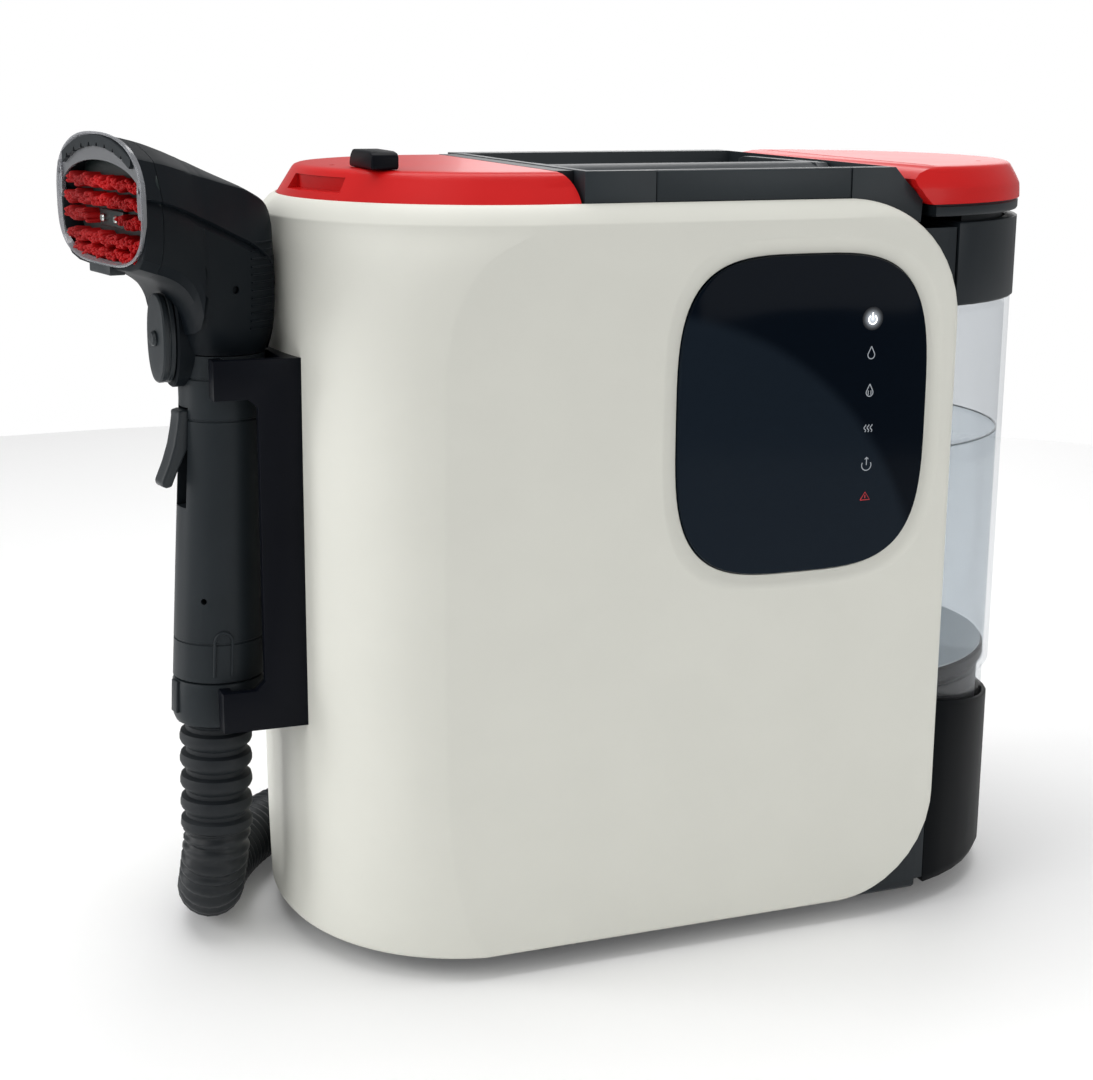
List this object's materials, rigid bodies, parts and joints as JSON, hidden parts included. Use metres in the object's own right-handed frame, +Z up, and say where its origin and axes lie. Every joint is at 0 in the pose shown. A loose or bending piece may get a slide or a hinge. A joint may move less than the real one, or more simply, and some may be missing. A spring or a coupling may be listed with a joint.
{
  "type": "portable carpet cleaner",
  "caption": "Portable carpet and upholstery cleaner: stadium-shaped base with lift-out tanks, touch panel, carry handle, hose and hand tool in a side cradle.",
  "frame": {"origin": "on the floor, under the middle of the part measured without its hose", "axes": "+X towards the clean tank's end, -X towards the hand tool, -Y the display's side, +Y the hose's side, +Z up"},
  "size_m": [0.4546, 0.235, 0.3684],
  "materials": {
    "shell_white": "satin warm white moulding",
    "black_plastic": "satin black moulding",
    "tool_plastic": "satin near-black moulding",
    "red_plastic": "glossy red",
    "display_glass": "dark polished panel",
    "tank_clear": "clear blown plastic",
    "tank_smoke": "smoke tinted plastic",
    "nozzle_clear": "clear moulded plastic",
    "stainless": "brushed steel",
    "boiler_metal": "cast aluminium heater block",
    "brass": "plain brass",
    "board": "green circuit board",
    "rubber": "matt black rubber",
    "grey_plastic": "matt grey moulding"
  },
  "bodies": {
    "base_unit": {"base_tray": "black_plastic", "chassis": "black_plastic", "core_column": "black_plastic", "tank_seat": "black_plastic", "foot_front_left": "rubber", "foot_front_right": "rubber", "foot_rear_left": "rubber", "foot_rear_right": "rubber", "front_shell": "shell_white", "rear_shell": "shell_white", "deck_frame": "black_plastic", "deck_trim_front": "black_plastic", "deck_trim_rear": "black_plastic", "display_glass": "display_glass", "display_bezel": "black_plastic", "control_pcb": "board", "motor_housing": "grey_plastic", "motor_core": "stainless", "motor_filter": "grey_plastic", "water_pump": "grey_plastic", "boiler": "boiler_metal", "boiler_bracket": "stainless", "solenoid_valve": "brass", "water_pipe": "tank_clear", "steam_pipe": "brass", "valve_seat": "brass", "suction_duct": "grey_plastic", "power_pcb": "board", "hose_port": "black_plastic", "mains_gland": "rubber", "vent_grille": "black_plastic", "hose_hooks": "black_plastic", "shell_screw_1": "stainless", "shell_screw_2": "stainless", "tool_cradle": "black_plastic", "hose": "rubber"},
    "fan": {"motor_fan": "grey_plastic"},
    "handle": {"carry_handle": "black_plastic"},
    "clean_tank": {"clean_tank_body": "tank_clear", "tank_collar": "black_plastic"},
    "clean_lid": {"clean_tank_lid": "red_plastic", "tank_lid_band": "black_plastic"},
    "outlet_valve": {"valve_plunger": "brass"},
    "dirty_tank": {"dirty_tank_body": "tank_smoke", "inlet_tube": "tank_smoke", "float_cage": "grey_plastic"},
    "dirty_lid": {"dirty_tank_lid": "red_plastic", "dirty_lid_frame": "black_plastic"},
    "latch": {"lid_latch": "black_plastic"},
    "float": {"float_ball": "red_plastic"},
    "hand_tool": {"tool_grip": "tool_plastic", "tool_cap": "tool_plastic", "tool_head": "tool_plastic", "nozzle_window": "nozzle_clear", "nozzle_brush": "red_plastic", "spray_bar": "brass", "strain_relief": "rubber"},
    "trigger": {"tool_trigger": "tool_plastic"},
    "knob": {"mode_knob": "tool_plastic"}
  },
  "joints": [
    {"name": "fan_spin", "type": "hinge", "parent": "base_unit", "child": "fan", "pos_m": [0.03008, 0.0035, 0.1], "axis": [0, 0, 1], "continuous": true},
    {"name": "handle_lift", "type": "hinge", "parent": "base_unit", "child": "handle", "pos_m": [0.04208, 0.0245, 0.3455], "axis": [-1, 0, 0], "range_deg": [0, 95]},
    {"name": "clean_tank_lift", "type": "slide", "parent": "base_unit", "child": "clean_tank", "axis": [0, 0, 1], "range_m": [0, 0.25]},
    {"name": "clean_lid_lift", "type": "slide", "parent": "clean_tank", "child": "clean_lid", "axis": [0, 0, 1], "range_m": [0, 0.05]},
    {"name": "outlet_valve_press", "type": "slide", "parent": "clean_tank", "child": "outlet_valve", "axis": [0, 0, 1], "range_m": [0, 0.003], "stiffness_N_per_m": 150, "springref_m": -0.002},
    {"name": "dirty_tank_lift", "type": "slide", "parent": "base_unit", "child": "dirty_tank", "axis": [0, 0, 1], "range_m": [0, 0.33]},
    {"name": "dirty_lid_lift", "type": "slide", "parent": "dirty_tank", "child": "dirty_lid", "axis": [0, 0, 1], "range_m": [0, 0.04]},
    {"name": "latch_slide", "type": "slide", "parent": "dirty_lid", "child": "latch", "axis": [0, 1, 0], "range_m": [0, 0.008]},
    {"name": "float_rise", "type": "slide", "parent": "dirty_tank", "child": "float", "axis": [0, 0, 1], "range_m": [0, 0.045]},
    {"name": "tool_pull", "type": "slide", "parent": "base_unit", "child": "hand_tool", "axis": [-0.9998, 0, 0.0203], "range_m": [0, 0.05]},
    {"name": "trigger_squeeze", "type": "hinge", "parent": "hand_tool", "child": "trigger", "pos_m": [-0.18137, -0.03396, 0.248], "axis": [0.1908, -0.9816, 0], "range_deg": [0, 10], "stiffness_Nm_per_rad": 0.15, "springref_deg": -11.46},
    {"name": "knob_turn", "type": "hinge", "parent": "hand_tool", "child": "knob", "pos_m": [-0.18947, -0.03562, 0.2815], "axis": [-0.9816, -0.1908, 0], "range_deg": [-45, 45]}
  ]
}
